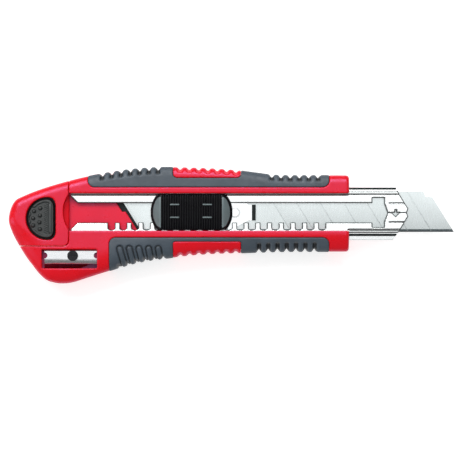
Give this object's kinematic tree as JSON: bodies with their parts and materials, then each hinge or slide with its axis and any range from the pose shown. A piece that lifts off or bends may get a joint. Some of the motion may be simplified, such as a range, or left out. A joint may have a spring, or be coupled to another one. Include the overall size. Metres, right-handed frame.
{
  "type": "snap-off knife",
  "caption": "Auto-loading snap-off utility knife with a ribbed thumb slider on a steel guide, soft grips, a pull-off rear cap and a pencil sharpener in its tail.",
  "frame": {"origin": "middle of the object's box on its back face", "axes": "+X along the blade towards its tip, +Y towards the blade's spine, +Z from the back face towards the thumb slider"},
  "size_m": [0.1974, 0.0518, 0.0194],
  "materials": {
    "red_shell": "semi-gloss moulded plastic",
    "grey_grip": "fine-textured soft grip",
    "bright_steel": "bright folded sheet",
    "blade_steel": "ground blade steel",
    "spring_steel": "spring steel",
    "black_plastic": "satin moulded plastic",
    "pad_rubber": "soft button pad",
    "screw_steel": "plated",
    "black_screw": "black oxide",
    "cast_nose": "zinc casting"
  },
  "bodies": {
    "handle": {"back_shell": "red_shell", "front_shell": "red_shell", "front_upper_grip": "grey_grip", "front_lower_grip": "grey_grip", "back_upper_grip": "grey_grip", "back_lower_grip": "grey_grip", "guide_tray": "bright_steel", "guide_cover": "bright_steel", "nose_block": "cast_nose", "sharpener_body": "red_shell", "sharpener_blade": "blade_steel", "sharpener_screw": "black_screw", "case_screws": "screw_steel", "magazine_spring": "spring_steel"},
    "slider": {"slider_button": "black_plastic", "slider_carrier": "spring_steel", "blade_clip": "bright_steel", "blade_stud": "spring_steel", "pawl_spring": "spring_steel", "blade": "blade_steel"},
    "pawl": {"lock_pawl": "spring_steel"},
    "cap": {"rear_cap": "red_shell", "cap_tongue": "red_shell", "button_spring": "spring_steel"},
    "button": {"release_button": "pad_rubber"},
    "magazine": {"follower": "black_plastic", "spare_blade_top": "blade_steel", "spare_blade_low": "blade_steel"}
  },
  "joints": [
    {"name": "slider_slide", "type": "slide", "parent": "handle", "child": "slider", "axis": [1, 0, 0], "range_m": [-0.03626, 0.04662]},
    {"name": "pawl_drop", "type": "slide", "parent": "slider", "child": "pawl", "axis": [0, -1, 0], "range_m": [0, 0.0024], "stiffness_N_per_m": 20},
    {"name": "cap_pull", "type": "slide", "parent": "handle", "child": "cap", "axis": [-1, 0, 0], "range_m": [0, 0.05]},
    {"name": "button_press", "type": "slide", "parent": "cap", "child": "button", "axis": [0, 0, -1], "range_m": [0, 0.0012], "stiffness_N_per_m": 300, "deforming": ["button_spring"]},
    {"name": "magazine_press", "type": "slide", "parent": "handle", "child": "magazine", "axis": [0, 0, -1], "range_m": [0, 0.0012], "stiffness_N_per_m": 150, "springref_m": -0.002, "deforming": ["magazine_spring"]}
  ]
}
